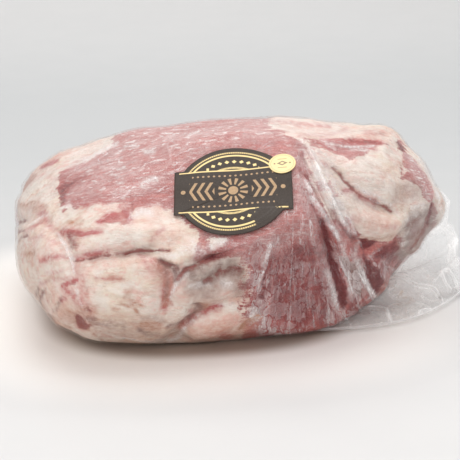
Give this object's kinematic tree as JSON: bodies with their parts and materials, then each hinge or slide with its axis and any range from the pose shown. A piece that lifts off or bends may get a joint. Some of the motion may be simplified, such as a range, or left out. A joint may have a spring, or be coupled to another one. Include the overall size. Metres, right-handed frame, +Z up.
{
  "type": "raw flank steak in a vacuum bag",
  "caption": "Thick folded slab of raw flank steak, lean and fat, frosted, drawn tight in a clear vacuum bag with a spare film end and a round paper badge; it lies flat.",
  "frame": {"origin": "middle of the flat underside, on the table", "axes": "+X runs along the pack towards the bag's spare end, -Y is the side with the badge, +Z is up"},
  "size_m": [0.3063, 0.2145, 0.1273],
  "materials": {
    "film_and_meat": "clear glossy film, frosted on the inside, over dull red lean and cream fat",
    "printed_paper": "dark brown print with gold lines, slightly worn",
    "cream_paper": "matte cream with small dark shapes"
  },
  "bodies": {
    "root": {"sealed_bag": "film_and_meat", "badge_label": "printed_paper", "round_sticker": "cream_paper"}
  },
  "joints": []
}
